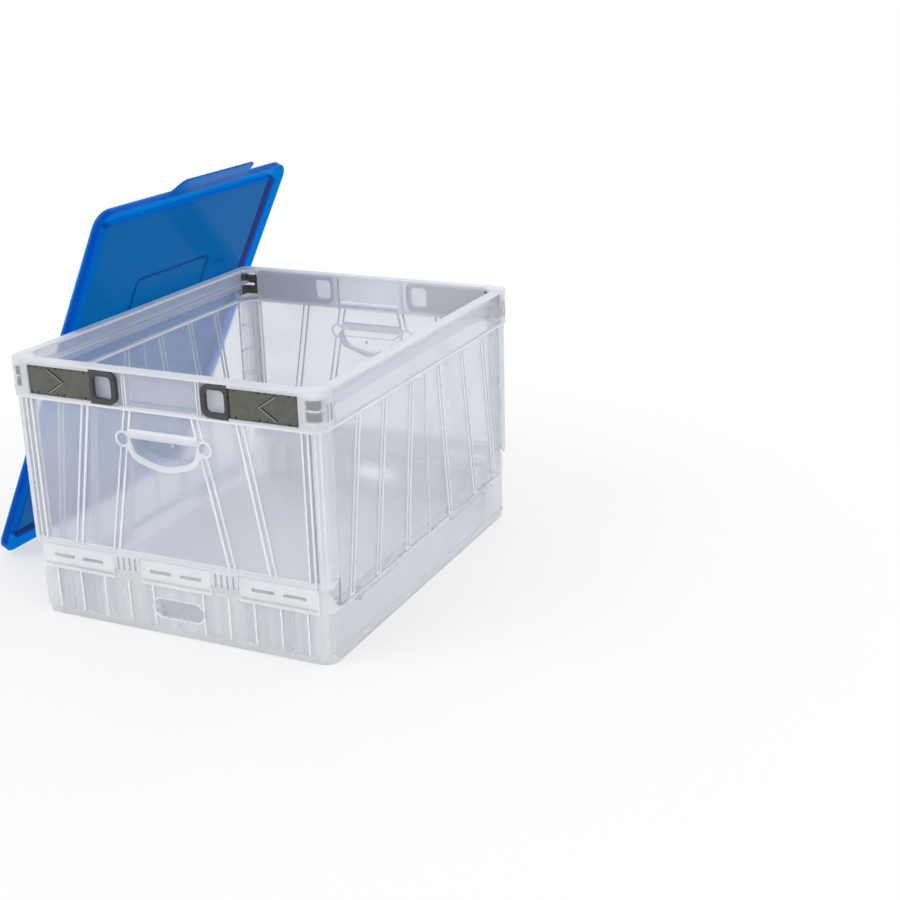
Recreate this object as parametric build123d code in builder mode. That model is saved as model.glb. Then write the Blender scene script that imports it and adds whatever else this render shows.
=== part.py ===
from build123d import *
import os
from math import cos, radians, sin, tan

os.makedirs("parts", exist_ok=True)

# A folding storage crate for hanging files, standing open with its lid off and leaning on it.
# X runs across the crate, Y along it and Z up. The origin is the middle of the underside.

# The erected crate over its rim, as wide as the files' hooks and what stands outside them on each side
crate_length = 446.0
hook_spacing = 318.0
hook_to_side = 22.0
crate_width = hook_spacing + 2 * hook_to_side
crate_height = 282.0

# Mouldings
skin = 2.4
rib_width = 1.6
swing_gap = 0.6
lock_gap = 0.5

# The base tray and the hinge lines that stack the folded walls
base_inset = 4.0
base_corner_radius = 16.0
floor_thickness = 3.0
foot_height = 8.0
foot_inset = 1.4
end_seat_height = 82.0
end_axis_height = 71.0
end_axis_inset = 11.0
right_axis_height = 50.0
left_axis_height = 28.0
side_axis_inset = 11.0
side_seat_rise = 8.0
tower_slope = 18.0

# The hinge pegs and their bearing lugs
peg_radius = 2.5
peg_play = 0.08
peg_length = 5.0
barrel_radius = 4.4
lug_length = 6.0
side_barrel_length = 80.0
side_hinge_places = (-110.0, 110.0)
end_barrel_length = 32.0
end_hinge_offset = 59.0
knuckle_count = 5
knuckle_gap = 3.0
knuckle_depth = 3.0

# The top band, the rim and the ledge that carries the file hooks
band_height = 41.0
rim_thickness = 3.0
rim_width = 11.0
band_proud = 3.0
ledge_drop = 12.0
band_inner_depth = 24.0

# The corner posts, one moulding with each end wall
post_reach = 25.0
post_inset = 2.0
post_radius = 10.5
post_rung_pitch = 32.0
post_rung_depth = 6.0
post_bottom_cut = 12.0

# The end wall's panel
end_panel_inset = 3.5
end_panel_to_side = 24.0
edge_strip_width = 8.0
edge_strip_depth = 8.0
clear_line_width = 3.0
rib_proud = 1.5

# The splayed ribs: where each starts under the band and where it ends at the foot of its panel
end_rib_tops = (39.0, 90.0)
end_rib_feet = (70.0, 117.0)
side_rib_tops = (32.0, 92.0, 148.0)
side_rib_feet = (54.0, 122.0, 178.0)
splay_rib_width = 9.0
splay_leg_width = 1.9

# The handle cup in each end wall
cup_half_width = 42.0
cup_top_height = 213.5
cup_depth_down = 29.0
cup_belly = 2.7
cup_depth_in = 17.0
cup_taper = 12.0
cup_edge_width = 4.4
handle_bar_half = 40.0
handle_bar_height = 7.5
handle_bar_depth = 6.4
handle_bar_cut = 2.2
boss_radius = 8.7
boss_wall = 2.4
boss_offset = 48.0
boss_height = 210.0

# The clear window between the latches
window_half_width = 41.0
window_shelf_height = 9.0

# The slide latches
latch_inner = 49.0
latch_plate_thickness = 2.6
ring_width = 31.0
ring_inner_bar = 5.5
ring_outer_bar = 3.5
ring_end_bar = 5.0
ring_corner_radius = 9.0
ring_window_radius = 5.0
ring_proud = 2.0
bolt_to_side = 4.5
bolt_hook = 4.0
bolt_height = 23.0
bolt_split = 4.0
lip_height = 2.6
notch_places = (83.5, 118.0, 150.5)
notch_offset = 4.0
notch_width = 1.8
notch_height = 5.0
chevron_apex = 114.0
chevron_reach = 19.0
chevron_rise = 12.5
chevron_line = 2.0

# The base's end rails, its double end walls and the hand slots
rail_depth = 27.0
rail_thickness = 6.5
rail_gap_half = 16.6
rail_to_side = 15.0
rail_slot_width = 26.0
rail_slot_height = 4.0
rail_slot_drop = 12.0
rail_slot_pitch = 36.0
rail_groove_height = 2.4
rail_groove_drop = 22.2
double_wall_gap = 10.0
double_wall_thickness = 1.6
double_wall_top = 60.0
fin_count = 5
fin_pitch = 30.3
hand_slot_width = 60.0
hand_slot_height = 20.6
hand_slot_middle = 30.3
hand_slot_rim = 0.8

# The lid
lid_overhang = 3.0
lid_skirt = 7.0
lid_corner_radius = 20.0
lid_ring = 16.0
lid_recess = 6.0
lid_recess_radius = 8.0
lid_edge_cut = 1.4
lid_frame_width = 145.0
lid_frame_length = 240.0
lid_frame_line = 2.6
lid_frame_cut = 5.0
lid_shift = 60.0
lid_tilt = 64.5
lid_gap = 0.5
flap_width = 160.0
flap_depth = 30.0
flap_draft = 10.0
flap_corner_radius = 8.0
flap_film = 1.0
flap_open = 25.0
flap_hook_width = 46.0

# Worked out from the sizes above
half_length = crate_length / 2
half_width = crate_width / 2
end_panel_half_width = half_width - end_panel_to_side
bolt_reach = half_width - bolt_to_side
rail_end = half_width - rail_to_side
band_bottom = crate_height - band_height
base_half_width = half_width - base_inset
base_half_length = half_length - base_inset
end_axis_y = -half_length + end_axis_inset
side_axis_x = half_width - side_axis_inset
side_end = half_length - post_reach - lock_gap / 2
post_end = half_length - post_reach + lock_gap / 2
panel_outer_y = -half_length + end_panel_inset
panel_inner_y = panel_outer_y + skin
strip_outer_y = panel_outer_y - rib_proud
side_panel_outer = half_width - band_proud
side_panel_inner = side_panel_outer - skin


def outward(place):
    """Which way is outward from the middle of the crate: each barrel has its one peg at that end."""
    return 1 if place > 0 else -1


def lug_middle(place, length):
    """The middle of the lug that carries the peg of a barrel."""
    return place + outward(place) * (length + swing_gap + lug_length) / 2


def hinge_holes(places, length, plane_for):
    """Bearing holes for the pegs, one for each barrel."""
    for place in places:
        with Locations(plane_for(lug_middle(place, length))):
            Cylinder(peg_radius + peg_play, lug_length + 2 * swing_gap, mode=Mode.SUBTRACT)


def side_plane(y, axis_x, axis_z):
    """An upright plane across the crate's length, centred on a side wall's hinge line."""
    return Plane(origin=(axis_x, y, axis_z), x_dir=(1, 0, 0), z_dir=(0, -1, 0))


def end_plane(x, end=-1):
    """An upright plane across an end wall's hinge line, with its own x pointing into the crate."""
    return Plane(origin=(x, -end * end_axis_y, end_axis_height), x_dir=(0, -end, 0), z_dir=(-end, 0, 0))


def splayed_rib(top, foot, low, high):
    """A hollow rib's outline, drawn in the plane of its panel: two thin legs that splay and meet."""
    half = splay_rib_width / 2
    inner = half - splay_leg_width
    toe = low + splay_leg_width
    Polygon((top - half, high), (top + half, high), (foot + half, low), (foot - half, low), align=None)
    Polygon(
        (top - inner, high + 1), (top + inner, high + 1), (foot + inner, toe), (foot - inner, toe),
        align=None, mode=Mode.SUBTRACT,
    )


def cut_corner_rectangle(width, height, cut, mode=Mode.ADD):
    """A rectangle with its corners cut off at 45 degrees."""
    x = width / 2
    y = height / 2
    Polygon(
        (x - cut, -y), (x, cut - y), (x, y - cut), (x - cut, y), (cut - x, y), (-x, y - cut), (-x, cut - y), (cut - x, -y),
        align=None, mode=mode,
    )


# The base tray: a shallow box on a set-in foot, high at its ends and corners and low along its sides
side_sills = (
    (side_axis_x, right_axis_height + side_seat_rise - swing_gap, right_axis_height),
    (-side_axis_x, left_axis_height + side_seat_rise - swing_gap, left_axis_height),
)
base_top = end_seat_height - swing_gap
rail_spans = (
    (-rail_end, -end_hinge_offset - rail_gap_half),
    (-end_hinge_offset + rail_gap_half, end_hinge_offset - rail_gap_half),
    (end_hinge_offset + rail_gap_half, rail_end),
)
double_wall_face = base_half_length - skin - double_wall_gap
double_wall_width = 2 * fin_count * fin_pitch + rib_width

with BuildPart() as base_tray:
    with BuildSketch(Plane.XY.offset(foot_height)):
        RectangleRounded(2 * base_half_width, 2 * base_half_length, base_corner_radius)
    extrude(amount=base_top - foot_height)
    with BuildSketch():
        RectangleRounded(
            2 * (base_half_width - foot_inset), 2 * (base_half_length - foot_inset), base_corner_radius - foot_inset
        )
    extrude(amount=foot_height)
    with BuildSketch(Plane.XY.offset(floor_thickness)):
        RectangleRounded(
            2 * (base_half_width - foot_inset - skin),
            2 * (base_half_length - foot_inset - skin),
            base_corner_radius - foot_inset - skin,
        )
    extrude(amount=foot_height, mode=Mode.SUBTRACT)
    with BuildSketch(Plane.XY.offset(foot_height + floor_thickness)):
        RectangleRounded(2 * (base_half_width - skin), 2 * (base_half_length - skin), base_corner_radius - skin)
    extrude(amount=base_top, mode=Mode.SUBTRACT)
    # The long sides drop to their hinge lines between four corner towers
    for axis_x, sill, axis_z in side_sills:
        with BuildSketch(Plane.YZ.offset(axis_x)) as sill_cut:
            with BuildLine():
                Polyline(
                    (-side_end - swing_gap - 4, sill),
                    (side_end + swing_gap + 4, sill),
                    (side_end + tower_slope, base_top + 1),
                    (-side_end - tower_slope, base_top + 1),
                    close=True,
                )
            make_face()
            fillet(sill_cut.vertices().group_by(Axis.Y)[0], 5)
        extrude(amount=side_axis_inset if axis_x > 0 else -side_axis_inset, mode=Mode.SUBTRACT)
    # Bearing lugs of the side walls, on the inner faces of the long sides
    lug_back = base_half_width - skin - side_axis_x + 0.5
    lug_radius = peg_radius + skin
    for axis_x, sill, axis_z in side_sills:
        way = outward(axis_x)
        for place in side_hinge_places:
            with BuildSketch(side_plane(lug_middle(place, side_barrel_length), axis_x, axis_z)):
                Polygon(
                    (way * lug_back, -lug_radius),
                    (-way * 0.4 * lug_radius, -lug_radius),
                    (-way * lug_radius, -0.4 * lug_radius),
                    (-way * lug_radius, 0.4 * lug_radius),
                    (-way * 0.4 * lug_radius, lug_radius),
                    (way * lug_back, lug_radius),
                    align=None,
                )
            extrude(amount=lug_length / 2, both=True)
        hinge_holes(side_hinge_places, side_barrel_length, lambda y: side_plane(y, axis_x, axis_z))
    # End rails, in three lengths with the hinge gaps between them
    for end in (-1, 1):
        rail_face = end * (base_half_length + rib_proud)
        for start, stop in rail_spans:
            with BuildSketch(Plane.XZ.offset(-rail_face)):
                with Locations(((start + stop) / 2, base_top - rail_depth / 2)):
                    Rectangle(stop - start, rail_depth)
            extrude(amount=end * rail_thickness)
            with BuildSketch(Plane.XZ.offset(-rail_face)):
                with Locations(((start + stop) / 2, base_top - rail_slot_drop)):
                    with GridLocations(rail_slot_pitch, 1, 2, 1):
                        Rectangle(rail_slot_width, rail_slot_height)
            extrude(amount=end * (rail_thickness + 1), mode=Mode.SUBTRACT)
            with BuildSketch(Plane.XZ.offset(-rail_face)):
                with Locations(((start + stop) / 2, base_top - rail_groove_drop)):
                    Rectangle(stop - start - 4, rail_groove_height)
            extrude(amount=end * rib_proud, mode=Mode.SUBTRACT)
        for place in (-end_hinge_offset, end_hinge_offset):
            with BuildSketch(Plane.XZ.offset(-end * base_half_length)):
                with Locations((place, base_top)):
                    Rectangle(2 * rail_gap_half, 2 * (end_seat_height - end_axis_height + barrel_radius + swing_gap))
            extrude(amount=end * rail_thickness, both=True, mode=Mode.SUBTRACT)
        # The double end wall: an inner wall and upright fins between the two, under a thin cover
        with BuildSketch(Plane.XY.offset(floor_thickness - 0.5)):
            with Locations((0, end * (double_wall_face - double_wall_thickness / 2))):
                Rectangle(double_wall_width, double_wall_thickness)
            for step in range(1, fin_count + 1):
                fin_y = end * (double_wall_face + double_wall_gap / 2)
                with Locations((-step * fin_pitch, fin_y), (step * fin_pitch, fin_y)):
                    Rectangle(rib_width, double_wall_gap + 0.6)
        extrude(amount=double_wall_top - floor_thickness + 0.5)
        with BuildSketch(Plane.XY.offset(double_wall_top - double_wall_thickness)):
            with Locations((0, end * (double_wall_face + (double_wall_gap - double_wall_thickness + 0.6) / 2))):
                Rectangle(double_wall_width, double_wall_gap + double_wall_thickness + 0.6)
        extrude(amount=double_wall_thickness)
        # The hand slot through both walls, with a slim rim outside
        with BuildSketch(Plane.XZ.offset(-end * (base_half_length + hand_slot_rim))):
            with Locations((0, hand_slot_middle)):
                SlotOverall(hand_slot_width + 2 * rib_width, hand_slot_height + 2 * rib_width)
        extrude(amount=end * (hand_slot_rim + 0.5))
        with BuildSketch(Plane.XZ.offset(-rail_face)):
            with Locations((0, hand_slot_middle)):
                SlotOverall(hand_slot_width, hand_slot_height)
        extrude(amount=end * (double_wall_gap + 2 * skin + 2 * rib_width), mode=Mode.SUBTRACT)
        # Bearing lugs of the end walls, on the rails' inner faces
        for x in (-end_hinge_offset, end_hinge_offset):
            with BuildSketch(end_plane(lug_middle(x, end_barrel_length), end)):
                with BuildLine():
                    Polyline((-3.5, -5.5), (0, -5.5), (5.5, -2.5), (5.5, 2.5), (0, 5.5), (-3.5, 5.5), close=True)
                make_face()
            extrude(amount=lug_length / 2, both=True)
        hinge_holes((-end_hinge_offset, end_hinge_offset), end_barrel_length, lambda x: end_plane(x, end))
base_tray.part.label = "base_tray"
export_step(base_tray.part, "parts/base_tray.step")


def make_side_wall(axis_z):
    """The right-hand side wall on a hinge line at the given height. The left one is the same, turned half round."""
    seat = axis_z + side_seat_rise
    ledge_top = crate_height - ledge_drop
    ledge_x = hook_spacing / 2
    inner_x = half_width - rim_width
    with BuildPart() as wall:
        # One section from the foot flange up the panel to the rim and the ledge for the file hooks
        with BuildSketch(Plane.XZ):
            with BuildLine():
                Polyline(
                    (side_panel_outer, seat),
                    (side_panel_outer, band_bottom),
                    (half_width, band_bottom),
                    (half_width, crate_height),
                    (inner_x, crate_height),
                    (inner_x, ledge_top),
                    (ledge_x, ledge_top),
                    (ledge_x, ledge_top - skin),
                    (inner_x, ledge_top - skin),
                    (inner_x, crate_height - band_inner_depth),
                    (inner_x + skin, crate_height - band_inner_depth),
                    (inner_x + skin, crate_height - rim_thickness),
                    (half_width - skin, crate_height - rim_thickness),
                    (half_width - skin, band_bottom + skin),
                    (side_panel_inner, band_bottom + skin),
                    (side_panel_inner, seat + skin),
                    (side_axis_x - barrel_radius + 0.5, seat + skin),
                    (side_axis_x - barrel_radius + 0.5, seat),
                    close=True,
                )
            make_face()
        extrude(amount=side_end, both=True)
        fillet(wall.edges().filter_by(Axis.Y).group_by(Axis.Z)[-1].sort_by(Axis.X)[-1], 1.2)
        # The band's closed ends, each with the tongue that reaches behind a corner post
        for end in (-1, 1):
            with BuildSketch(Plane.XZ.offset(-end * side_end)):
                with Locations(((inner_x + half_width) / 2, (band_bottom + crate_height) / 2)):
                    Rectangle(rim_width - 1, band_height - 3)
            extrude(amount=end * skin)
            with BuildSketch(Plane.XZ.offset(-end * side_end)):
                with Locations((inner_x + rim_width / 2 - 1, crate_height - 21)):
                    Rectangle(rim_width / 2, 22)
            extrude(amount=-end * rim_thickness)
        # Hollow splayed ribs down the outside of the panel, and a thin line between the middle two
        with BuildSketch(Plane.YZ.offset(side_panel_outer - 0.2)):
            for top, foot in zip(side_rib_tops, side_rib_feet):
                for end in (-1, 1):
                    splayed_rib(end * top, end * foot, seat + 3, band_bottom)
            with Locations((0, (seat + band_bottom) / 2)):
                Rectangle(1.0, band_bottom - seat)
        extrude(amount=rib_proud + 0.2)
        # Barrels under the foot flange, each with a peg at its outer end
        for place in side_hinge_places:
            with BuildSketch(side_plane(place, side_axis_x, axis_z)):
                Circle(barrel_radius)
                with Locations((0, side_seat_rise / 2 + 0.5)):
                    Rectangle(2 * barrel_radius, side_seat_rise + 1)
            extrude(amount=side_barrel_length / 2, both=True)
            with BuildSketch(side_plane(place, side_axis_x, axis_z)):
                Circle(peg_radius)
            extrude(amount=-outward(place) * (side_barrel_length / 2 + peg_length))
    return wall


side_wall_right = make_side_wall(right_axis_height)
side_wall_right.part.label = "side_wall_right"
export_step(side_wall_right.part, "parts/side_wall_right.step")

low_side_wall = make_side_wall(left_axis_height)
with BuildPart() as side_wall_left:
    add(low_side_wall.part.rotate(Axis.Z, 180))
side_wall_left.part.label = "side_wall_left"
export_step(side_wall_left.part, "parts/side_wall_left.step")

# The end wall at the front: panel, wrap-round corner posts, handle cup and latch bays in one moulding
post_outer_x = half_width - post_inset
post_outer_y = -half_length + post_inset
post_flat_x = post_outer_x - post_radius
post_flat_y = post_outer_y + post_radius
band_radius = post_radius + post_inset
strip_end_x = end_panel_half_width + edge_strip_width
band_back_y = -half_length + rim_width + 1
bay_height = crate_height - rim_thickness - band_bottom - skin
bay_middle_z = band_bottom + skin + bay_height / 2
window_face_y = -half_length + ring_proud + latch_plate_thickness + 1.0


def corner_outline(radius_x, radius_y, radius, thickness):
    """A post's plan: a rounded L of even thickness, from its inner edge on the end face to its edge on the side."""
    centre_x = radius_x - radius
    centre_y = radius_y + radius
    inner = radius - thickness
    with BuildLine() as outline:
        Line((strip_end_x + clear_line_width, radius_y), (centre_x, radius_y))
        RadiusArc((centre_x, radius_y), (radius_x, centre_y), -radius)
        Line((radius_x, centre_y), (radius_x, -post_end))
        Line((radius_x, -post_end), (radius_x - thickness, -post_end))
        Line((radius_x - thickness, -post_end), (radius_x - thickness, centre_y))
        RadiusArc((radius_x - thickness, centre_y), (centre_x, radius_y + thickness), inner)
        Line((centre_x, radius_y + thickness), (strip_end_x + clear_line_width, radius_y + thickness))
        Line((strip_end_x + clear_line_width, radius_y + thickness), (strip_end_x + clear_line_width, radius_y))
    make_face(outline.edges())


with BuildPart() as end_wall:
    # The plan of the panel with its edge strips, extruded from the seat to the band
    with BuildSketch(Plane.XY.offset(end_seat_height)):
        with BuildLine():
            Polyline(
                (0, panel_outer_y),
                (end_panel_half_width, panel_outer_y),
                (end_panel_half_width, strip_outer_y),
                (strip_end_x, strip_outer_y),
                (strip_end_x, panel_outer_y),
                (strip_end_x + clear_line_width + 1, panel_outer_y),
                (strip_end_x + clear_line_width + 1, panel_inner_y),
                (strip_end_x, panel_inner_y),
                (strip_end_x, strip_outer_y + edge_strip_depth),
                (strip_end_x - rib_width, strip_outer_y + edge_strip_depth),
                (strip_end_x - rib_width, strip_outer_y + skin),
                (end_panel_half_width + rib_width, strip_outer_y + skin),
                (end_panel_half_width + rib_width, strip_outer_y + edge_strip_depth),
                (end_panel_half_width, strip_outer_y + edge_strip_depth),
                (end_panel_half_width, panel_inner_y),
                (0, panel_inner_y),
                close=True,
            )
        make_face()
        corner_outline(post_outer_x, post_outer_y, post_radius, skin)
    extrude(amount=band_bottom + skin / 2 - end_seat_height)
    # The post's lower edge rises towards the long side
    with BuildSketch(Plane.YZ.offset(post_flat_x)):
        with BuildLine():
            Polyline(
                (-post_end + 1, end_seat_height - 1),
                (-post_end + 1, end_seat_height + post_bottom_cut),
                (-post_end - post_bottom_cut - 2, end_seat_height - 1),
                close=True,
            )
        make_face()
    extrude(amount=post_radius + 1, mode=Mode.SUBTRACT)
    # Rungs across the inside of the post, each sunk a little into its wall
    rung_steps = int((band_bottom - end_seat_height - 10) // post_rung_pitch)
    sunk = skin / 4
    turn_x = post_flat_x + (post_radius - sunk) * cos(radians(45))
    turn_y = post_flat_y - (post_radius - sunk) * sin(radians(45))
    rung_x = post_outer_x - post_rung_depth
    rung_y = post_outer_y + post_rung_depth
    for step in range(1, rung_steps + 1):
        with BuildSketch(Plane.XY.offset(band_bottom - step * post_rung_pitch)):
            Polygon(
                (strip_end_x + clear_line_width, post_outer_y + sunk),
                (post_flat_x, post_outer_y + sunk),
                (turn_x, turn_y),
                (post_outer_x - sunk, post_flat_y),
                (post_outer_x - sunk, -post_end),
                (rung_x, -post_end),
                (rung_x, rung_y + 3),
                (rung_x - 3, rung_y),
                (strip_end_x + clear_line_width, rung_y),
                align=None,
            )
        extrude(amount=rib_width)
    # The band round the corner, with its roof, its floor and two upright slots beside the bolt
    with BuildSketch(Plane.XY.offset(band_bottom)):
        corner_outline(half_width, -half_length, band_radius, skin)
        with Locations(((end_panel_half_width + strip_end_x + 4) / 2, -half_length + skin / 2)):
            Rectangle(strip_end_x + 4 - end_panel_half_width, skin)
    extrude(amount=band_height)
    for low, thickness in ((crate_height - rim_thickness, rim_thickness), (band_bottom, skin)):
        with BuildSketch(Plane.XY.offset(low)):
            with BuildLine():
                Line((end_panel_half_width - 3, -half_length), (half_width - band_radius, -half_length))
                RadiusArc((half_width - band_radius, -half_length), (half_width, -half_length + band_radius), -band_radius)
                Line((half_width, -half_length + band_radius), (half_width, -post_end))
                Line((half_width, -post_end), (half_width - rim_width - 1, -post_end))
                Line((half_width - rim_width - 1, -post_end), (end_panel_half_width - 3, band_back_y))
                Line((end_panel_half_width - 3, band_back_y), (end_panel_half_width - 3, -half_length))
            make_face()
        extrude(amount=thickness)
    with BuildSketch(Plane.YZ.offset(half_width - band_radius)):
        for place in (-post_end - 4.5, -post_end - 11.5):
            with Locations((place, bay_middle_z - 2)):
                cut_corner_rectangle(3.6, 18, 1.2)
    extrude(amount=band_radius + 1, mode=Mode.SUBTRACT)
    # The band between the posts: a channel that opens to the front
    with BuildSketch(Plane.YZ):
        with BuildLine():
            Polyline(
                (-half_length, crate_height - rim_thickness),
                (-half_length, crate_height),
                (band_back_y, crate_height),
                (band_back_y, band_bottom),
                (-half_length, band_bottom),
                (-half_length, band_bottom + skin),
                (band_back_y - skin, band_bottom + skin),
                (band_back_y - skin, crate_height - rim_thickness),
                close=True,
            )
        make_face()
    extrude(amount=end_panel_half_width - 1.5)
    # The clear window, its shelf and the two ribs beside it
    with BuildSketch(Plane.YZ):
        with Locations((window_face_y + 1.2, bay_middle_z)):
            Rectangle(2.0, bay_height + 1)
        with Locations(((window_face_y + band_back_y) / 2, band_bottom + window_shelf_height - skin / 2)):
            Rectangle(band_back_y - window_face_y, skin)
    extrude(amount=window_half_width + rib_width)
    for place in (window_half_width + rib_width / 2, window_half_width + 2.4 * rib_width):
        with BuildSketch(Plane.YZ.offset(place - rib_width / 2)):
            with Locations(((window_face_y + band_back_y) / 2 - 0.5, bay_middle_z)):
                Rectangle(band_back_y - window_face_y, bay_height + 1)
        extrude(amount=rib_width)
    # Lips over the edges of the latch plate, from its finger ring to the corner
    with BuildSketch(Plane.XZ.offset(half_length)):
        lip_start = latch_inner + ring_width + lock_gap
        lip_middle = (lip_start + end_panel_half_width) / 2
        for edge, way in ((crate_height - rim_thickness, -1), (band_bottom + skin, 1)):
            with Locations((lip_middle, edge + way * (lip_height - 0.5) / 2)):
                Rectangle(end_panel_half_width - lip_start, lip_height + 0.5)
    extrude(amount=-(ring_proud - lock_gap))
    # The rail at the foot of the panel
    with BuildSketch(Plane.YZ):
        with Locations(((strip_outer_y + end_axis_y) / 2 + 0.2, end_seat_height + 2)):
            Rectangle(end_axis_y - strip_outer_y, 4)
    extrude(amount=strip_end_x)
    # Hollow splayed ribs on the panel
    with BuildSketch(Plane.XZ.offset(-panel_outer_y - 0.2)):
        for top, foot in zip(end_rib_tops, end_rib_feet):
            splayed_rib(top, foot, end_seat_height + 3, band_bottom + 1)
    extrude(amount=rib_proud + 0.2)
    # A barrel with its peg and the knuckles that carry it from the outer face
    knuckle_pitch = (end_barrel_length + knuckle_gap) / knuckle_count
    with BuildSketch(end_plane(end_hinge_offset)):
        Circle(barrel_radius)
        with BuildLine():
            Polyline(
                (0, -barrel_radius),
                (strip_outer_y - end_axis_y, -barrel_radius),
                (strip_outer_y - end_axis_y, end_seat_height - end_axis_height + 1),
                (barrel_radius, end_seat_height - end_axis_height + 1),
                (barrel_radius, 0),
                close=True,
            )
        make_face()
    extrude(amount=end_barrel_length / 2, both=True)
    with BuildSketch(end_plane(end_hinge_offset)):
        Circle(peg_radius)
    extrude(amount=end_barrel_length / 2 + peg_length)
    with BuildSketch(Plane.XZ.offset(-strip_outer_y)):
        with Locations((end_hinge_offset, end_axis_height + 2)):
            with GridLocations(knuckle_pitch, 1, knuckle_count - 1, 1):
                Rectangle(knuckle_gap, 3.2 * barrel_radius)
    extrude(amount=-knuckle_depth, mode=Mode.SUBTRACT)
    mirror(about=Plane.YZ)
    # The handle cup: a tapered pocket pressed inwards, with a raised edge and a grip bar over it
    cup_outline = (
        (-cup_half_width, cup_top_height),
        (-cup_half_width + 6, cup_top_height - 0.7 * cup_depth_down),
        (0, cup_top_height - cup_depth_down - cup_belly),
        (cup_half_width - 6, cup_top_height - 0.7 * cup_depth_down),
        (cup_half_width, cup_top_height),
    )
    with BuildSketch(Plane.XZ.offset(-panel_outer_y + rib_proud)) as cup_edge:
        with BuildLine():
            Polyline(*cup_outline, close=True)
        make_face()
        fillet(cup_edge.vertices().sort_by(Axis.Y)[1:3], 18)
        fillet(cup_edge.vertices().sort_by(Axis.Y)[0], 60)
        offset(amount=cup_edge_width, kind=Kind.INTERSECTION)
    extrude(amount=-(rib_proud + skin / 2))
    # The round bosses at the ends of the raised edge
    boss_places = ((-boss_offset, boss_height), (boss_offset, boss_height))
    with BuildSketch(Plane.XZ.offset(-panel_outer_y + rib_proud)):
        with Locations(*boss_places):
            Circle(boss_radius)
    extrude(amount=-(rib_proud + skin / 2))
    with BuildSketch(Plane.XZ.offset(-panel_outer_y + rib_proud)):
        with Locations(*boss_places):
            Circle(boss_radius - boss_wall)
    extrude(amount=-rib_proud, mode=Mode.SUBTRACT)
    with BuildSketch(Plane.XZ.offset(-panel_outer_y)) as cup_shell:
        with BuildLine():
            Polyline(*cup_outline, close=True)
        make_face()
        fillet(cup_shell.vertices().sort_by(Axis.Y)[1:3], 18)
        fillet(cup_shell.vertices().sort_by(Axis.Y)[0], 60)
    extrude(amount=-cup_depth_in, taper=cup_taper)
    with BuildSketch(Plane.XZ.offset(-panel_outer_y + rib_proud)) as cup_hollow:
        with BuildLine():
            Polyline(*cup_outline, close=True)
        make_face()
        fillet(cup_hollow.vertices().sort_by(Axis.Y)[1:3], 18)
        fillet(cup_hollow.vertices().sort_by(Axis.Y)[0], 60)
        offset(amount=-rib_width)
    extrude(amount=-(cup_depth_in + rib_proud - skin), taper=cup_taper, mode=Mode.SUBTRACT)
    with BuildSketch(Plane.XZ.offset(half_length - 0.1)):
        with Locations((0, cup_top_height + (handle_bar_height + 1) / 2)):
            cut_corner_rectangle(2 * handle_bar_half, handle_bar_height, handle_bar_cut)
    extrude(amount=-handle_bar_depth)
end_wall.part.label = "end_wall_front"
export_step(end_wall.part, "parts/end_wall_front.step")

with BuildPart() as end_wall_back:
    add(end_wall.part.rotate(Axis.Z, 180))
end_wall_back.part.label = "end_wall_back"
export_step(end_wall_back.part, "parts/end_wall_back.step")

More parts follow.
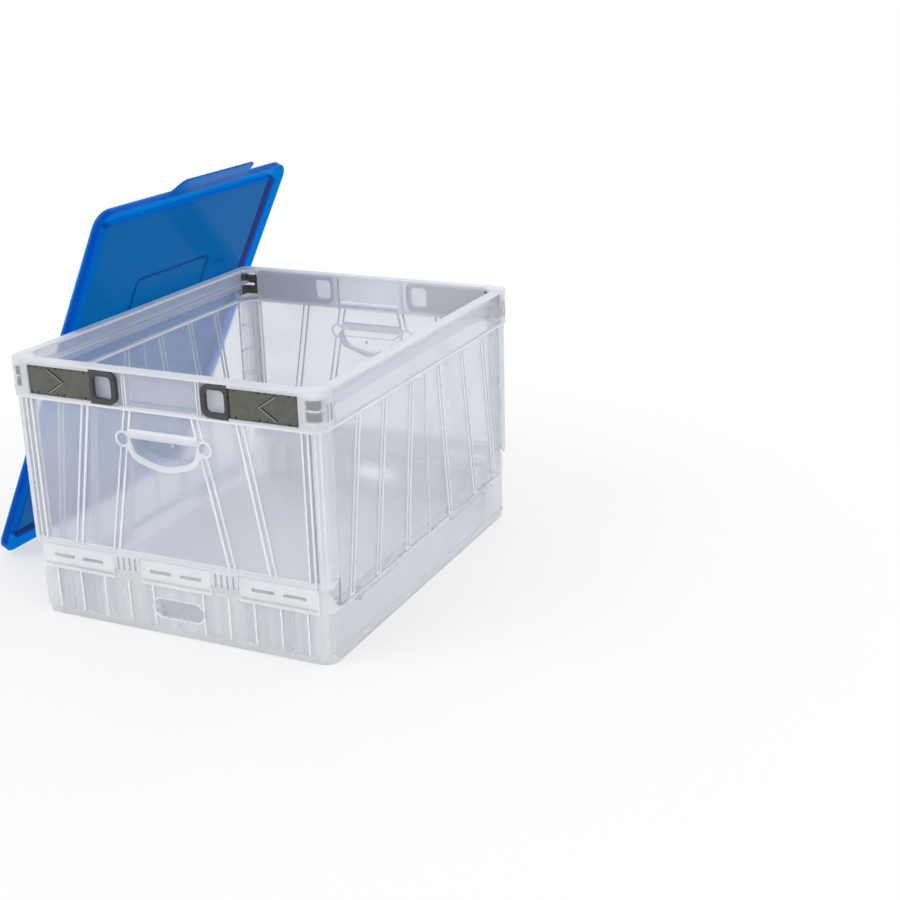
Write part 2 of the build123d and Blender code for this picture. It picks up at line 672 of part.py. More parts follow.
# The slide latch at the front right: a plate with a finger ring at its inner end and a hooked bolt at its outer end
plate_low = band_bottom + skin + swing_gap
plate_high = crate_height - rim_thickness - swing_gap
plate_middle = (plate_low + plate_high) / 2
plate_face_y = -half_length + ring_proud
plate_back_y = plate_face_y + latch_plate_thickness
plate_end = end_panel_half_width - lock_gap
bolt_back_y = band_back_y - skin - lock_gap
with BuildPart() as latch:
    with BuildSketch(Plane.XZ.offset(-plate_face_y)):
        with Locations(((latch_inner + ring_width / 2 + plate_end) / 2, plate_middle)):
            Rectangle(plate_end - latch_inner - ring_width / 2, plate_high - plate_low)
    extrude(amount=-latch_plate_thickness)
    # Small notches along both long edges of the plate
    with BuildSketch(Plane.XZ.offset(-plate_face_y)):
        for place in notch_places:
            for edge in (plate_low, plate_high):
                with Locations((place - notch_offset, edge), (place + notch_offset, edge)):
                    Rectangle(notch_width, 2 * notch_height)
    extrude(amount=-latch_plate_thickness, mode=Mode.SUBTRACT)
    # The raised finger ring, well rounded at its inner end
    ring_height = plate_high - plate_low - 1
    with BuildSketch(Plane.XZ.offset(half_length)) as ring:
        with Locations((latch_inner + ring_width / 2, plate_middle)):
            Rectangle(ring_width, ring_height)
        fillet(ring.vertices().sort_by(Axis.X)[:2], ring_corner_radius)
    extrude(amount=-(ring_proud + latch_plate_thickness))
    chamfer(latch.edges().filter_by(Plane.XZ).group_by(Axis.Y)[0], 1.0)
    window_inner = latch_inner + ring_inner_bar
    window_outer = latch_inner + ring_width - ring_outer_bar
    with BuildSketch(Plane.XZ.offset(half_length + 1)):
        with Locations(((window_inner + window_outer) / 2, plate_middle)):
            RectangleRounded(window_outer - window_inner, ring_height - 2 * ring_end_bar, ring_window_radius)
    extrude(amount=-(ring_proud + latch_plate_thickness + 2), mode=Mode.SUBTRACT)
    # The raised arrowhead that points the way to squeeze
    with BuildSketch(Plane.XZ.offset(-plate_face_y - 0.2)):
        with BuildLine():
            arrow = Polyline(
                (chevron_apex + chevron_reach, plate_middle + chevron_rise),
                (chevron_apex, plate_middle),
                (chevron_apex + chevron_reach, plate_middle - chevron_rise),
            )
        trace(arrow, line_width=chevron_line)
    extrude(amount=1.0)
    # The bolt: two prongs that lie inside the corner post and hook round behind its face
    with BuildSketch(Plane.XY.offset(plate_middle - bolt_height / 2)):
        with BuildLine():
            Polyline(
                (end_panel_half_width - 5, plate_back_y - 0.6),
                (bolt_reach - 3, plate_back_y - 0.6),
                (bolt_reach, plate_back_y + 2.4),
                (bolt_reach, -post_end - 4),
                (bolt_reach - bolt_hook, -post_end - 4),
                (bolt_reach - bolt_hook, bolt_back_y),
                (end_panel_half_width - 5, bolt_back_y),
                close=True,
            )
        make_face()
    extrude(amount=bolt_height)
    with BuildSketch(Plane.XZ.offset(half_length)):
        with Locations((end_panel_half_width + 14, plate_middle)):
            Rectangle(20, bolt_split)
    extrude(amount=-post_reach, mode=Mode.SUBTRACT)

latch_names = {
    "latch_front_right": latch.part,
    "latch_front_left": latch.part.mirror(Plane.YZ),
    "latch_back_left": latch.part.rotate(Axis.Z, 180),
    "latch_back_right": latch.part.mirror(Plane.YZ).rotate(Axis.Z, 180),
}
for name, shape in latch_names.items():
    with BuildPart() as placed_latch:
        add(shape)
    placed_latch.part.label = name
    export_step(placed_latch.part, f"parts/{name}.step")

# The lid leans on the left-hand rim, standing on its folded-back lower flap
lid_width = crate_width + 2 * lid_overhang
lid_length = crate_length + 2 * lid_overhang
tilt = radians(lid_tilt)
foot_x = -half_width - lid_gap / sin(tilt) - (crate_height - skin - lid_gap) / tan(tilt)
lid_up = Vector(cos(tilt), 0, sin(tilt))
lid_out = Vector(-sin(tilt), 0, cos(tilt))
lid_foot = Vector(foot_x, lid_shift, skin + lid_gap / 2)
lid_centre = lid_foot + lid_up * (lid_length / 2) + lid_out * lid_skirt
lid_plane = Plane(origin=lid_centre, x_dir=(0, -1, 0), z_dir=lid_out)


with BuildPart() as lid:
    recess_width = lid_width - 2 * lid_ring
    recess_length = lid_length - 2 * lid_ring
    # The flat ring that lies on the rim and the skirt round it, bevelled at the outer edge
    with BuildSketch(lid_plane.offset(-lid_skirt)):
        RectangleRounded(lid_width, lid_length, lid_corner_radius)
    extrude(amount=lid_skirt + skin)
    chamfer(lid.faces().sort_by(Axis(lid_plane.origin, lid_plane.z_dir))[-1].edges(), lid_edge_cut)
    with BuildSketch(lid_plane.offset(-lid_skirt)):
        RectangleRounded(lid_width - 2 * skin, lid_length - 2 * skin, lid_corner_radius - skin)
    extrude(amount=lid_skirt, mode=Mode.SUBTRACT)
    # The set-down panel
    with BuildSketch(lid_plane.offset(-lid_recess)):
        RectangleRounded(recess_width, recess_length, lid_recess_radius)
    extrude(amount=lid_recess)
    with BuildSketch(lid_plane.offset(-lid_recess + skin)):
        RectangleRounded(recess_width - 2 * skin, recess_length - 2 * skin, lid_recess_radius - skin)
    extrude(amount=lid_recess + skin, mode=Mode.SUBTRACT)
    # The raised frame on the panel
    with BuildSketch(lid_plane.offset(-lid_recess + skin - 0.2)):
        cut_corner_rectangle(lid_frame_width, lid_frame_length, lid_frame_cut)
        cut_corner_rectangle(
            lid_frame_width - 2 * lid_frame_line,
            lid_frame_length - 2 * lid_frame_line,
            lid_frame_cut - lid_frame_line * (2 - 2 ** 0.5),
            Mode.SUBTRACT,
        )
    extrude(amount=1.4)
lid.part.label = "lid"
export_step(lid.part, "parts/lid.step")


def make_flap(end, turned):
    """A lid flap, hinged by a thin film at the foot of the skirt and turned from the way it hangs when shut."""
    root = lid_plane.from_local_coords(Vector(0, end * lid_length / 2, -lid_skirt))
    outward = lid_up * end
    angle = radians(turned)
    down = lid_out * (-cos(angle)) + outward * sin(angle)
    face = outward * cos(angle) + lid_out * sin(angle)
    plane = Plane(origin=root, x_dir=(0, -1, 0), z_dir=face)
    way = 1 if plane.y_dir.dot(down) > 0 else -1
    root_half = flap_width / 2
    tip_half = root_half - flap_draft
    near = way * flap_film
    tip = way * (flap_film + flap_depth)
    with BuildPart() as flap:
        with BuildSketch(plane) as outline:
            Polygon((-root_half, near), (root_half, near), (tip_half, tip), (-tip_half, tip), align=None)
            far = outline.vertices().group_by(Axis.Y)[-1 if way > 0 else 0]
            fillet(far, flap_corner_radius)
        extrude(amount=-skin)
        with BuildSketch(plane.offset(-0.2)):
            with Locations((0, way * (flap_film + 0.72 * flap_depth))):
                Rectangle(flap_hook_width, 3)
        extrude(amount=1.4)
    return flap


lid_flap_top = make_flap(1, 90 - flap_open)
lid_flap_top.part.label = "lid_flap_top"
export_step(lid_flap_top.part, "parts/lid_flap_top.step")

lid_flap_bottom = make_flap(-1, 90 + lid_tilt)
lid_flap_bottom.part.label = "lid_flap_bottom"
export_step(lid_flap_bottom.part, "parts/lid_flap_bottom.step")
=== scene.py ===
import bpy
import math
from mathutils import Matrix, Vector


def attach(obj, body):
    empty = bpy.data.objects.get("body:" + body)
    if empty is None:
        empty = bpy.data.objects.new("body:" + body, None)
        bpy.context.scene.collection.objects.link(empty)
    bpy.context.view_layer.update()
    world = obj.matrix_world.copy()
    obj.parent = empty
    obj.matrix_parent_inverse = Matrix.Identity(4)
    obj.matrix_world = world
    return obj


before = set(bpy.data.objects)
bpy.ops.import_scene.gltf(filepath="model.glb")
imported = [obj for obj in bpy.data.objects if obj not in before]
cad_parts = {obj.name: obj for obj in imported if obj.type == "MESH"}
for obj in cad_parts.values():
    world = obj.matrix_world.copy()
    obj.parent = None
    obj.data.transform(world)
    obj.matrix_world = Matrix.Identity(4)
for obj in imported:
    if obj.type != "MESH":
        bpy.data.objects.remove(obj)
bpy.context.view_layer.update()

# Sizes and places on the object, in metres. Across runs from the middle to the long sides, along runs to the
# end walls and height runs up from the floor. A pair says where something starts and where it ends.
crate_height = 0.282
rim_depth = 0.0031
band_bottom = 0.241
band_lip = (band_bottom - 0.0005, band_bottom + 0.0027)

# End walls: the panel's face, the sill, the window, the handle, the corner posts and the ends of the bolts
end_panel_face = 0.2198
sill = (0.060, 0.0885)
window_edge = 0.0408
jamb_end = window_edge + 0.006
handle_reach = 0.058
handle_rise = (0.177, 0.2192)
strip_width = 0.0086
strip_line = 0.0021
post_inner = 0.1567
post_outer = 0.1682
post_seam = (0.1709, 0.1719)
# How much further along than across the middle of a post's rounded edge lies
post_edge = 0.0420
post_edge_half = 0.0011
bolt_end = (0.165, 0.179)
bolt_rise = (0.2525, 0.2735)

# Side walls: the panel's face, which the ribs stand out from
side_panel_face = 0.1783

# Base: its outer face and the space between its double ends, with the fins in it, the rails and the foot
base_face = 0.2193
cavity_start = 0.20765
fin_pitch = 0.0303
fin_half = 0.0009
fin_reach = (0.02, 0.154)
rail_bottom = 0.0545
foot_height = 0.0085

# Latches: the plate's face, where the finger ring ends, and the tip, middle and slope of the arrowhead
latch_face = 0.22135
ring_reach = 0.0815
chevron_apex = 0.114
chevron_height = 0.261
chevron_slope = 0.658

# Lid, as it leans. The raised frame's face is measured from the edge of the skirt.
lid_tilt = math.radians(64.5)
lid_foot = Vector((-0.314678, 0.060, 0.00265))
lid_length = 0.452
lid_width = 0.368
lid_ring = 0.0166
lid_step = 0.0026
frame_face = 0.0036
flap_width = 0.160
film_radius = 0.0011
film_inset = 0.001
rod_sides = 16

# Marks on the floors of the handle cups
gate_place = 0.2047
gate_height = 0.203
gate_radius = 0.0016
gate_rise = 0.0008

# Worked out
lid_up = Vector((math.cos(lid_tilt), 0, math.sin(lid_tilt)))
lid_out = Vector((-math.sin(lid_tilt), 0, math.cos(lid_tilt)))
lid_head = lid_foot + lid_up * lid_length
lid_middle = lid_foot + lid_up * (lid_length / 2)
ring_along = lid_length / 2 - lid_ring
ring_across = lid_width / 2 - lid_ring

# How softly a mask turns from 0 to 1
sharp = 0.0003
crisp = 0.0004
soft = 0.0006
softer = 0.001
blurred = 0.003

# How clear the plastic is, from 0 for milky to 1 for see-through. A pair is the range of its streaks.
clearness = {
    "wall": 0.80,
    "post": (0.50, 0.64),
    # Milky lines down the post corners: a painted highlight along the rounded edge, and the seam beside it
    "post edge highlight and seam": 0.18,
    "post strip": 0.12,
    "band behind latch": 0.5,
    "band on post": 0.45,
    "bolt": 0.84,
    "end rib": 0.10,
    "handle": 0.34,
    "jamb": 0.2,
    "end lip": 0.2,
    "rim": 0.35,
    "sill": 0.3,
    "side rib": 0.15,
    "side band": 0.80,
    "side lip": 0.25,
    "base": 0.78,
    "base end": (0.56, 0.78),
    "fin": 0.05,
    "rail": 0.5,
    "base face": 0.3,
    "foot": 0.58,
    "gate": 0.08,
    "lid": 0.85,
    "flap": 0.5,
}
clear_spread = 0.03
least_roughness = 0.07
milky_roughness = 0.5
blue_roughness = (0.06, 0.12)
latch_roughness = (0.25, 0.42)

# What noise mostly keeps between, how it is drawn out into upright streaks, and the depth of the
# moulded grain
noise_low = 0.3
noise_high = 0.7
streak_squeeze = (1.0, 1.0, 0.03)
streak_scale = 70.0
grain_depth = 0.0003

# Colours. A pair is mixed by noise.
wall_tints = ((0.86, 0.885, 0.93), (0.92, 0.935, 0.965))
base_tints = ((0.90, 0.91, 0.945), (0.96, 0.965, 0.985))
panel_blues = ((0.0, 0.120, 0.38), (0.0, 0.145, 0.45))
ring_blues = ((0.0, 0.205, 0.66), (0.0, 0.245, 0.76))
step_blue = (0.0, 0.085, 0.45)
frame_blue = (0.0, 0.030, 0.24)
plate_greys = ((0.060, 0.057, 0.048), (0.135, 0.129, 0.108))
ring_greys = ((0.022, 0.022, 0.025), (0.060, 0.058, 0.064))
# The arrowhead's painted shade and painted highlight, one on each side of its arms
arrow_shade = (0.012, 0.012, 0.014)
arrow_painted_highlight = (0.34, 0.31, 0.34)
floor_white = (0.92, 0.92, 0.92)

# Floor, and how far from the middle it begins and ends to fade into the background
floor_reach = 6.0
floor_drop = 0.0005
fade_start = 0.32
fade_end = 0.85
least_fade = 0.55

# How bright the surroundings are as a light and as the background that is seen
sky_light = 0.72
sky_seen = 1.0

# Camera, fitted to the photograph, which is as many pixels wide as it is high
image_size = 900.0
focal_pixels = 1478.163
camera_position = Vector((0.835162, -1.335388, 0.677564))
camera_yaw = math.radians(25.245)
camera_pitch = math.radians(19.425)
camera_roll = math.radians(-1.503)


# Node helpers
def new_material(name):
    """A material with its node tree and its main shader."""
    material = bpy.data.materials.new(name)
    material.use_nodes = True
    tree = material.node_tree
    return material, tree, tree.nodes["Principled BSDF"]


def set_inputs(node, values):
    """Set the inputs of a node by their names."""
    for name, value in values.items():
        node.inputs[name].default_value = value


def math_node(tree, operation, first, second=None):
    """A Math node whose inputs are sockets or numbers."""
    node = tree.nodes.new("ShaderNodeMath")
    node.operation = operation
    for socket, value in zip(node.inputs, (first, second)):
        if value is None:
            continue
        if isinstance(value, (int, float)):
            socket.default_value = value
        else:
            tree.links.new(value, socket)
    return node.outputs[0]


def magnitude(tree, value):
    """A value without its sign."""
    return math_node(tree, "ABSOLUTE", value)


def both(tree, first, second):
    """1 where both masks are 1."""
    return math_node(tree, "MULTIPLY", first, second)


def either(tree, first, second):
    """1 where either mask is 1."""
    return math_node(tree, "MAXIMUM", first, second)


def outside(tree, mask):
    """1 where the mask is 0."""
    return math_node(tree, "SUBTRACT", 1.0, mask)


def object_point(tree):
    """The point on the object, which shares the frame of the solids."""
    return tree.nodes.new("ShaderNodeTexCoord").outputs["Object"]


def axis_of(tree, point, axis):
    """One coordinate of a point."""
    split = tree.nodes.new("ShaderNodeSeparateXYZ")
    tree.links.new(point, split.inputs[0])
    return split.outputs[axis]


def places_of(tree, point):
    """How far a point lies across, along and up, alike on both sides and at both ends."""
    across = magnitude(tree, axis_of(tree, point, 0))
    along = magnitude(tree, axis_of(tree, point, 1))
    return across, along, axis_of(tree, point, 2)


def distance_along(tree, point, way):
    """How far a point lies along a direction from the middle of the lid's skirt edge."""
    node = tree.nodes.new("ShaderNodeVectorMath")
    node.operation = "DOT_PRODUCT"
    node.inputs[1].default_value = way
    tree.links.new(point, node.inputs[0])
    return math_node(tree, "SUBTRACT", node.outputs["Value"], lid_middle.dot(way))


def map_range(tree, value, limits):
    """A Map Range node, its limits given by the names of its inputs."""
    node = tree.nodes.new("ShaderNodeMapRange")
    set_inputs(node, limits)
    tree.links.new(value, node.inputs["Value"])
    return node


def step_up(tree, value, start, softness=crisp):
    """0 below the start and 1 above it."""
    node = map_range(tree, value, {"From Min": start - softness / 2, "From Max": start + softness / 2})
    node.interpolation_type = "SMOOTHSTEP"
    return node.outputs["Result"]


def between(tree, value, low, high, softness=crisp):
    """1 between the two limits and 0 outside them."""
    over_low = step_up(tree, value, low, softness)
    over_high = step_up(tree, value, high, softness)
    return math_node(tree, "SUBTRACT", over_low, over_high)


def noise(tree, point, scale, detail=3.0):
    """Noise over the object."""
    node = tree.nodes.new("ShaderNodeTexNoise")
    set_inputs(node, {"Scale": scale, "Detail": detail})
    tree.links.new(point, node.inputs["Vector"])
    return node.outputs["Fac"]


def spread(tree, value, low, high):
    """Noise spread over a range of values."""
    limits = {"From Min": noise_low, "From Max": noise_high, "To Min": low, "To Max": high}
    return map_range(tree, value, limits).outputs["Result"]


def streaks(tree, point, low, high):
    """Upright streaks, as the melt left them in the walls, spread over a range of values."""
    squeeze = tree.nodes.new("ShaderNodeVectorMath")
    squeeze.operation = "MULTIPLY"
    squeeze.inputs[1].default_value = streak_squeeze
    tree.links.new(point, squeeze.inputs[0])
    drawn_out = noise(tree, squeeze.outputs["Vector"], streak_scale, detail=1.0)
    return spread(tree, drawn_out, low, high)


def mix_number(tree, factor, first, second):
    """A number from a socket, replaced by another number or socket where the mask is 1."""
    node = tree.nodes.new("ShaderNodeMix")
    tree.links.new(factor, node.inputs["Factor"])
    tree.links.new(first, node.inputs["A"])
    if isinstance(second, (int, float)):
        node.inputs["B"].default_value = second
    else:
        tree.links.new(second, node.inputs["B"])
    return node.outputs["Result"]


def mix_colour(tree, factor, first, second):
    """A colour mixed by a mask, from colours or sockets."""
    node = tree.nodes.new("ShaderNodeMix")
    node.data_type = "RGBA"
    factor_socket, first_socket, second_socket = node.inputs[0], node.inputs[6], node.inputs[7]
    tree.links.new(factor, factor_socket)
    for socket, value in ((first_socket, first), (second_socket, second)):
        if isinstance(value, tuple):
            socket.default_value = (*value, 1)
        else:
            tree.links.new(value, socket)
    return node.outputs[2]


def fine_grain(tree, point, shader, scale, strength):
    """A fine moulded grain."""
    bump = tree.nodes.new("ShaderNodeBump")
    set_inputs(bump, {"Strength": strength, "Distance": grain_depth})
    tree.links.new(noise(tree, point, scale, detail=2.0), bump.inputs["Height"])
    tree.links.new(bump.outputs["Normal"], shader.inputs["Normal"])


def seen_directly(tree):
    """1 for rays from the camera, from mirrors and through see-through surfaces."""
    path = tree.nodes.new("ShaderNodeLightPath")
    seen = either(tree, path.outputs["Is Camera Ray"], path.outputs["Is Transmission Ray"])
    return either(tree, seen, path.outputs["Is Glossy Ray"])


# Zones of the frosted plastic. Each is a mask and how clear the plastic is in it, and a later one lies over
# an earlier one.
def end_wall_zones(tree, point):
    """Milky posts, band, ribs, rims and sill of an end wall."""
    across, along, height = places_of(tree, point)
    in_band = step_up(tree, height, band_bottom)
    under_band = outside(tree, in_band)
    on_post = step_up(tree, across, post_inner)
    on_post_corner = both(tree, step_up(tree, across, post_outer), under_band)
    strip_end = post_inner + strip_width
    strip_lines = either(
        tree,
        between(tree, across, post_inner, post_inner + strip_line),
        between(tree, across, strip_end - strip_line, strip_end),
    )
    # Milky lines down each post's corner: a painted highlight along its rounded edge, and the real seam
    # beside it
    off_corner = math_node(tree, "SUBTRACT", along, across)
    edge_highlight_and_seam_lines = either(
        tree,
        between(tree, off_corner, post_edge - post_edge_half, post_edge + post_edge_half),
        between(tree, across, *post_seam),
    )
    behind_latch = both(tree, between(tree, across, jamb_end, post_inner), in_band)
    bolt = both(
        tree,
        between(tree, across, *bolt_end, blurred),
        between(tree, height, *bolt_rise, blurred),
    )
    raised = both(tree, step_up(tree, along, end_panel_face), under_band)
    handle = both(
        tree,
        between(tree, height, *handle_rise),
        outside(tree, step_up(tree, across, handle_reach)),
    )
    jamb = both(tree, between(tree, across, window_edge, jamb_end), in_band)
    return (
        (on_post_corner, streaks(tree, point, *clearness["post"])),
        (both(tree, edge_highlight_and_seam_lines, on_post_corner), clearness["post edge highlight and seam"]),
        (both(tree, strip_lines, under_band), clearness["post strip"]),
        (behind_latch, clearness["band behind latch"]),
        (both(tree, on_post, in_band), clearness["band on post"]),
        (bolt, clearness["bolt"]),
        (both(tree, raised, outside(tree, on_post)), clearness["end rib"]),
        (both(tree, raised, handle), clearness["handle"]),
        (jamb, clearness["jamb"]),
        (between(tree, height, *band_lip), clearness["end lip"]),
        (step_up(tree, height, crate_height - rim_depth), clearness["rim"]),
        (between(tree, height, *sill), clearness["sill"]),
    )


def side_wall_zones(tree, point):
    """Milky ribs, lip and rim of a side wall."""
    across, _, height = places_of(tree, point)
    in_band = step_up(tree, height, band_bottom)
    ribs = both(tree, step_up(tree, across, side_panel_face), outside(tree, in_band))
    return (
        (ribs, clearness["side rib"]),
        (in_band, clearness["side band"]),
        (between(tree, height, *band_lip), clearness["side lip"]),
        (step_up(tree, height, crate_height - rim_depth), clearness["rim"]),
    )


def base_zones(tree, point):
    """Milky fins between the double walls, end rails, slot rims and foot of the base."""
    across, along, height = places_of(tree, point)
    at_end = step_up(tree, along, cavity_start)
    off_fin = math_node(tree, "PINGPONG", math_node(tree, "ADD", across, fin_pitch), fin_pitch / 2)
    on_fin = outside(tree, step_up(tree, off_fin, fin_half))
    fins = both(tree, both(tree, on_fin, between(tree, across, *fin_reach)), at_end)
    return (
        (at_end, streaks(tree, point, *clearness["base end"])),
        (fins, clearness["fin"]),
        (step_up(tree, height, rail_bottom), clearness["rail"]),
        (step_up(tree, along, base_face), clearness["base face"]),
        (outside(tree, step_up(tree, height, foot_height)), clearness["foot"]),
    )


def no_zones(tree, point):
    """A piece that is alike all over."""
    return ()


def lid_masks(tree, point):
    """The ring round the lid's set-down panel, and the lines of its step and its raised frame."""
    along = magnitude(tree, distance_along(tree, point, lid_up))
    out = distance_along(tree, point, lid_out)
    across = magnitude(tree, math_node(tree, "SUBTRACT", axis_of(tree, point, 1), lid_middle.y))
    on_ring = either(
        tree,
        step_up(tree, along, ring_along, softer),
        step_up(tree, across, ring_across, softer),
    )
    past_panel = either(
        tree,
        step_up(tree, along, ring_along - lid_step, soft),
        step_up(tree, across, ring_across - lid_step, soft),
    )
    on_step = both(tree, past_panel, outside(tree, on_ring))
    on_frame = both(tree, step_up(tree, out, frame_face, sharp), outside(tree, past_panel))
    return on_ring, on_step, on_frame


# Materials
def frosted_plastic(name, clear, zones, tints):
    """See-through polypropylene, as clear as given except in the milky zones."""
    material, tree, shader = new_material(name)
    point = object_point(tree)
    cloud = noise(tree, point, scale=14.0)
    set_inputs(shader, {"IOR": 1.12, "Coat Weight": 0.2, "Coat Roughness": 0.15})
    tree.links.new(mix_colour(tree, cloud, *tints), shader.inputs["Base Color"])
    sight = spread(tree, cloud, clear - clear_spread, clear + clear_spread)
    for mask, value in zones(tree, point):
        sight = mix_number(tree, mask, sight, value)
    tree.links.new(sight, shader.inputs["Transmission Weight"])
    haze = math_node(tree, "MULTIPLY", outside(tree, sight), milky_roughness)
    tree.links.new(math_node(tree, "ADD", haze, least_roughness), shader.inputs["Roughness"])
    fine_grain(tree, point, shader, scale=900.0, strength=0.04)
    return material


def blue_plastic(name, clear, masks=None):
    """See-through blue polypropylene, deeper on the lid's panel, its step and its raised frame."""
    material, tree, shader = new_material(name)
    point = object_point(tree)
    cloud = noise(tree, point, scale=11.0)
    set_inputs(shader, {"IOR": 1.08, "Coat Roughness": 0.05, "Transmission Weight": clear})
    colour = mix_colour(tree, cloud, *ring_blues)
    if masks:
        set_inputs(shader, {"Specular IOR Level": 0.2, "Coat Weight": 0.03})
        on_ring, on_step, on_frame = masks(tree, point)
        colour = mix_colour(tree, on_ring, mix_colour(tree, cloud, *panel_blues), colour)
        colour = mix_colour(tree, on_step, colour, step_blue)
        colour = mix_colour(tree, on_frame, colour, frame_blue)
    else:
        set_inputs(shader, {"Specular IOR Level": 0.08, "Coat Weight": 0.0})
    tree.links.new(colour, shader.inputs["Base Color"])
    tree.links.new(spread(tree, cloud, *blue_roughness), shader.inputs["Roughness"])
    fine_grain(tree, point, shader, scale=500.0, strength=0.02)
    return material


def dark_plastic(name):
    """Olive-grey plastic of the latches: mottled plate, darker finger ring, arrowhead with a painted
    highlight on its lower side and painted shade on its upper side.
    """
    material, tree, shader = new_material(name)
    point = object_point(tree)
    mottle = noise(tree, point, scale=130.0, detail=6.0)
    across, along, height = places_of(tree, point)
    on_plate = step_up(tree, across, ring_reach)
    raised = both(tree, step_up(tree, along, latch_face), on_plate)
    # Painted light on the arrowhead's raised arms: a painted highlight on the lower side of each arm,
    # painted shade on the upper side
    over_apex = math_node(tree, "SUBTRACT", height, chevron_height)
    reach = math_node(tree, "MULTIPLY", math_node(tree, "SUBTRACT", across, chevron_apex), chevron_slope)
    arm = math_node(tree, "MULTIPLY", math_node(tree, "SIGN", over_apex), reach)
    lit_side = step_up(tree, math_node(tree, "SUBTRACT", arm, over_apex), 0.0, sharp)
    plate = mix_colour(tree, mottle, *plate_greys)
    ring = mix_colour(tree, mottle, *ring_greys)
    arrow_with_painted_light = mix_colour(tree, lit_side, arrow_shade, arrow_painted_highlight)
    colour = mix_colour(tree, raised, mix_colour(tree, on_plate, ring, plate), arrow_with_painted_light)
    tree.links.new(colour, shader.inputs["Base Color"])
    tree.links.new(spread(tree, mottle, *latch_roughness), shader.inputs["Roughness"])
    fine_grain(tree, point, shader, scale=1400.0, strength=0.08)
    return material


def white_floor(name):
    """A white floor that keeps the object's shadow near it and fades into the background further off."""
    material, tree, shader = new_material(name)
    set_inputs(shader, {"Base Color": (*floor_white, 1), "Roughness": 0.7})
    from_middle = tree.nodes.new("ShaderNodeVectorMath")
    from_middle.operation = "LENGTH"
    tree.links.new(object_point(tree), from_middle.inputs[0])
    limits = {"From Min": fade_start, "From Max": fade_end, "To Min": least_fade, "To Max": 1.0}
    fade = map_range(tree, from_middle.outputs["Value"], limits)
    fade.interpolation_type = "SMOOTHSTEP"
    glow = tree.nodes.new("ShaderNodeEmission")
    blend = tree.nodes.new("ShaderNodeMixShader")
    tree.links.new(both(tree, fade.outputs["Result"], seen_directly(tree)), blend.inputs[0])
    tree.links.new(shader.outputs[0], blend.inputs[1])
    tree.links.new(glow.outputs[0], blend.inputs[2])
    tree.links.new(blend.outputs[0], tree.nodes["Material Output"].inputs["Surface"])
    return material


end_plastic = frosted_plastic("frosted_end_wall", clearness["wall"], end_wall_zones, wall_tints)
side_plastic = frosted_plastic("frosted_side_wall", clearness["wall"], side_wall_zones, wall_tints)
base_plastic = frosted_plastic("frosted_base", clearness["base"], base_zones, base_tints)
gate_plastic = frosted_plastic("frosted_gate", clearness["gate"], no_zones, wall_tints)
lid_plastic = blue_plastic("blue_lid", clearness["lid"], lid_masks)
flap_plastic = blue_plastic("blue_flap", clearness["flap"])
latch_plastic = dark_plastic("dark_latch")

look = {
    "base_tray": base_plastic,
    "side_wall_left": side_plastic,
    "side_wall_right": side_plastic,
    "end_wall_front": end_plastic,
    "end_wall_back": end_plastic,
    "latch_front_left": latch_plastic,
    "latch_front_right": latch_plastic,
    "latch_back_left": latch_plastic,
    "latch_back_right": latch_plastic,
    "lid": lid_plastic,
    "lid_flap_top": flap_plastic,
    "lid_flap_bottom": flap_plastic,
}
for node, material in look.items():
    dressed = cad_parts[node]
    dressed.data.materials.clear()
    dressed.data.materials.append(material)


# Small pieces that only the scene has
def add_rod(name, start, end, radius, material, body):
    """A round rod between two points, riding on a body."""
    length = (end - start).length
    bpy.ops.mesh.primitive_cylinder_add(vertices=rod_sides, radius=radius, depth=length)
    rod = bpy.context.object
    rod.name = name
    rod.location = (start + end) / 2
    rod.rotation_euler = (end - start).to_track_quat("Z", "Y").to_euler()
    rod.data.materials.append(material)
    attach(rod, body)


half_film = Vector((0, flap_width / 2 - film_inset, 0))
add_rod("film_top", lid_head - half_film, lid_head + half_film, film_radius, flap_plastic, "lid")
add_rod("film_bottom", lid_foot - half_film, lid_foot + half_film, film_radius, flap_plastic, "lid")
for end, way in (("front", -1), ("back", 1)):
    gate_start = Vector((0, way * gate_place, gate_height))
    gate_end = gate_start + Vector((0, way * gate_rise, 0))
    add_rod(f"gate_{end}", gate_start, gate_end, gate_radius, gate_plastic, "crate")

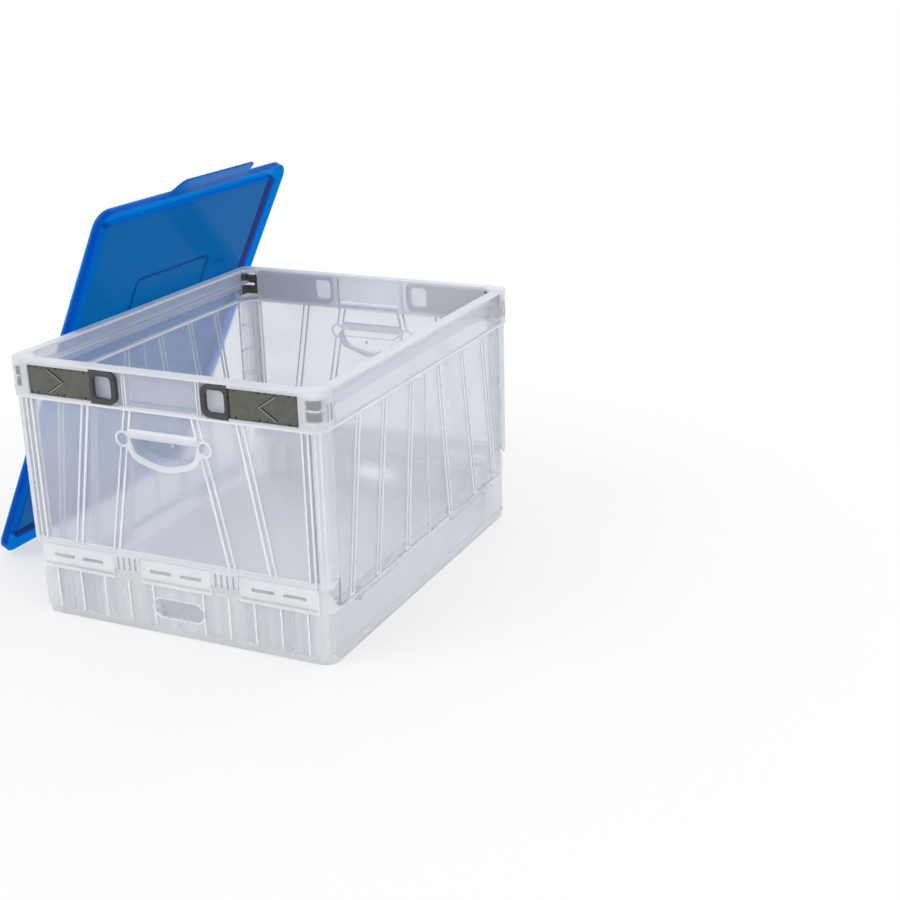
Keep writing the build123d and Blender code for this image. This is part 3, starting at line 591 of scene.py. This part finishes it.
# Floor
corners = [
    (-floor_reach, -floor_reach, 0),
    (floor_reach, -floor_reach, 0),
    (floor_reach, floor_reach, 0),
    (-floor_reach, floor_reach, 0),
]
mesh = bpy.data.meshes.new("floor")
mesh.from_pydata(corners, [], [(0, 1, 2, 3)])
floor = bpy.data.objects.new("floor", mesh)
floor.location.z = -floor_drop
bpy.context.scene.collection.objects.link(floor)
floor.data.materials.append(white_floor("floor"))

# World
world = bpy.data.worlds.new("studio")
bpy.context.scene.world = world
world.use_nodes = True
sky = world.node_tree
background = sky.nodes["Background"]
background.inputs["Color"].default_value = (1, 1, 1, 1)
strength = map_range(sky, seen_directly(sky), {"To Min": sky_light, "To Max": sky_seen})
sky.links.new(strength.outputs["Result"], background.inputs["Strength"])


# Lamps
def add_lamp(name, location, target, size, power):
    """A rectangular lamp aimed at a point."""
    lamp = bpy.data.lights.new(name, "AREA")
    lamp.shape = "RECTANGLE"
    lamp.size, lamp.size_y = size
    lamp.energy = power
    holder = bpy.data.objects.new(name, lamp)
    holder.location = location
    holder.rotation_euler = (Vector(target) - Vector(location)).to_track_quat("-Z", "Y").to_euler()
    bpy.context.scene.collection.objects.link(holder)


add_lamp("key", location=(-1.2, -1.6, 2.2), target=(0, 0, 0.15), size=(1.6, 1.2), power=20)
add_lamp("fill", location=(1.9, -1.0, 1.4), target=(0, 0, 0.15), size=(1.4, 1.4), power=9)
add_lamp("back", location=(0.4, 2.2, 1.8), target=(0, 0, 0.2), size=(2.0, 1.0), power=12)

# Camera
toward = Vector((
    math.sin(camera_yaw) * math.cos(camera_pitch),
    -math.cos(camera_yaw) * math.cos(camera_pitch),
    math.sin(camera_pitch),
))
right = (-toward).cross(Vector((0, 0, 1))).normalized()
up = right.cross(-toward)
rolled_right = math.cos(camera_roll) * right + math.sin(camera_roll) * up
rolled_up = -math.sin(camera_roll) * right + math.cos(camera_roll) * up
turn = Matrix((rolled_right, rolled_up, toward)).transposed()
lens = bpy.data.cameras.new("camera")
lens.sensor_width = 36.0
lens.lens = lens.sensor_width * focal_pixels / image_size
camera = bpy.data.objects.new("camera", lens)
camera.matrix_world = Matrix.Translation(camera_position) @ turn.to_4x4()
bpy.context.scene.collection.objects.link(camera)
bpy.context.scene.camera = camera
bpy.context.scene.view_settings.view_transform = "Standard"
